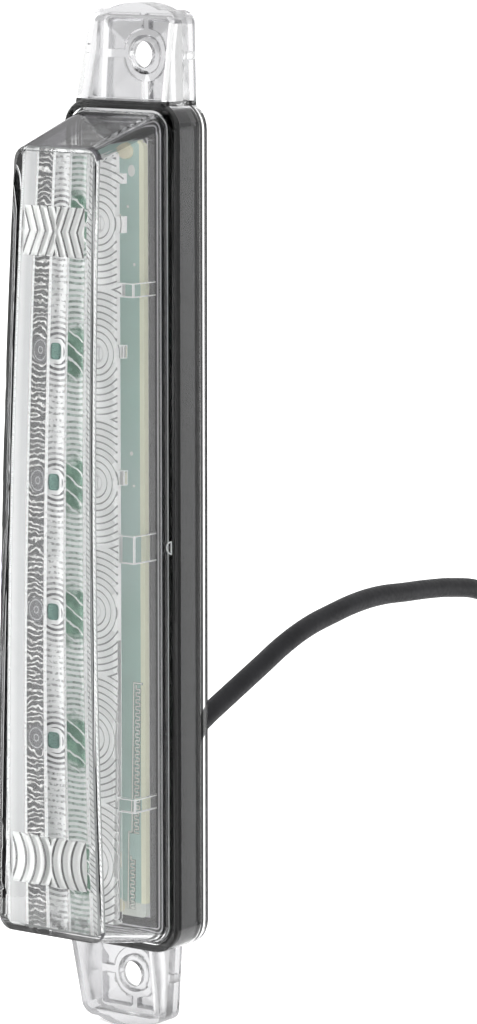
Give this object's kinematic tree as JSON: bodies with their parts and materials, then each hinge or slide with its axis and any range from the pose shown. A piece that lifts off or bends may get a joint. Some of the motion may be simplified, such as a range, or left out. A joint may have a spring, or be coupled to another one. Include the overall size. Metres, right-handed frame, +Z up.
{
  "type": "clearance lamp",
  "caption": "Slim upright LED clearance lamp: clear bowed cover over a black tray, ring-lens strip, screw tab at each end and a cable from its back.",
  "frame": {"origin": "on the mounting plane, midway between the two screw holes", "axes": "+X across the lamp to its right seen from the front, +Y back into the surface it is screwed to, +Z up along the lamp; the lens faces -Y"},
  "size_m": [0.0417, 0.3588, 0.2388],
  "materials": {
    "clear_plastic": "clear gloss",
    "optic_plastic": "clear gloss",
    "black_plastic": "fine grain",
    "board": "solder mask",
    "led_body": "gloss",
    "rivet": "satin",
    "chip": "matt",
    "cable_jacket": "matt",
    "core_brown": "satin",
    "core_white": "satin",
    "ferrule_metal": "tinned",
    "tie": "satin"
  },
  "bodies": {
    "root": {"clear_cover": "clear_plastic", "housing": "black_plastic", "circuit_board": "board", "optic_strip": "optic_plastic", "led_1": "led_body", "led_2": "led_body", "led_3": "led_body", "led_4": "led_body", "led_5": "led_body", "led_6": "led_body", "board_rivets": "rivet", "resistor_1": "chip", "resistor_2": "chip", "resistor_3": "chip", "diode": "chip", "cable_bush": "cable_jacket", "lead_plus": "core_brown", "lead_minus": "core_white", "cord_run": "cable_jacket", "cord_coil": "cable_jacket", "cord_tail": "cable_jacket", "cord_tie": "tie", "core_plus": "core_brown", "core_minus": "core_white", "ferrule_plus": "ferrule_metal", "ferrule_minus": "ferrule_metal"}
  },
  "joints": []
}
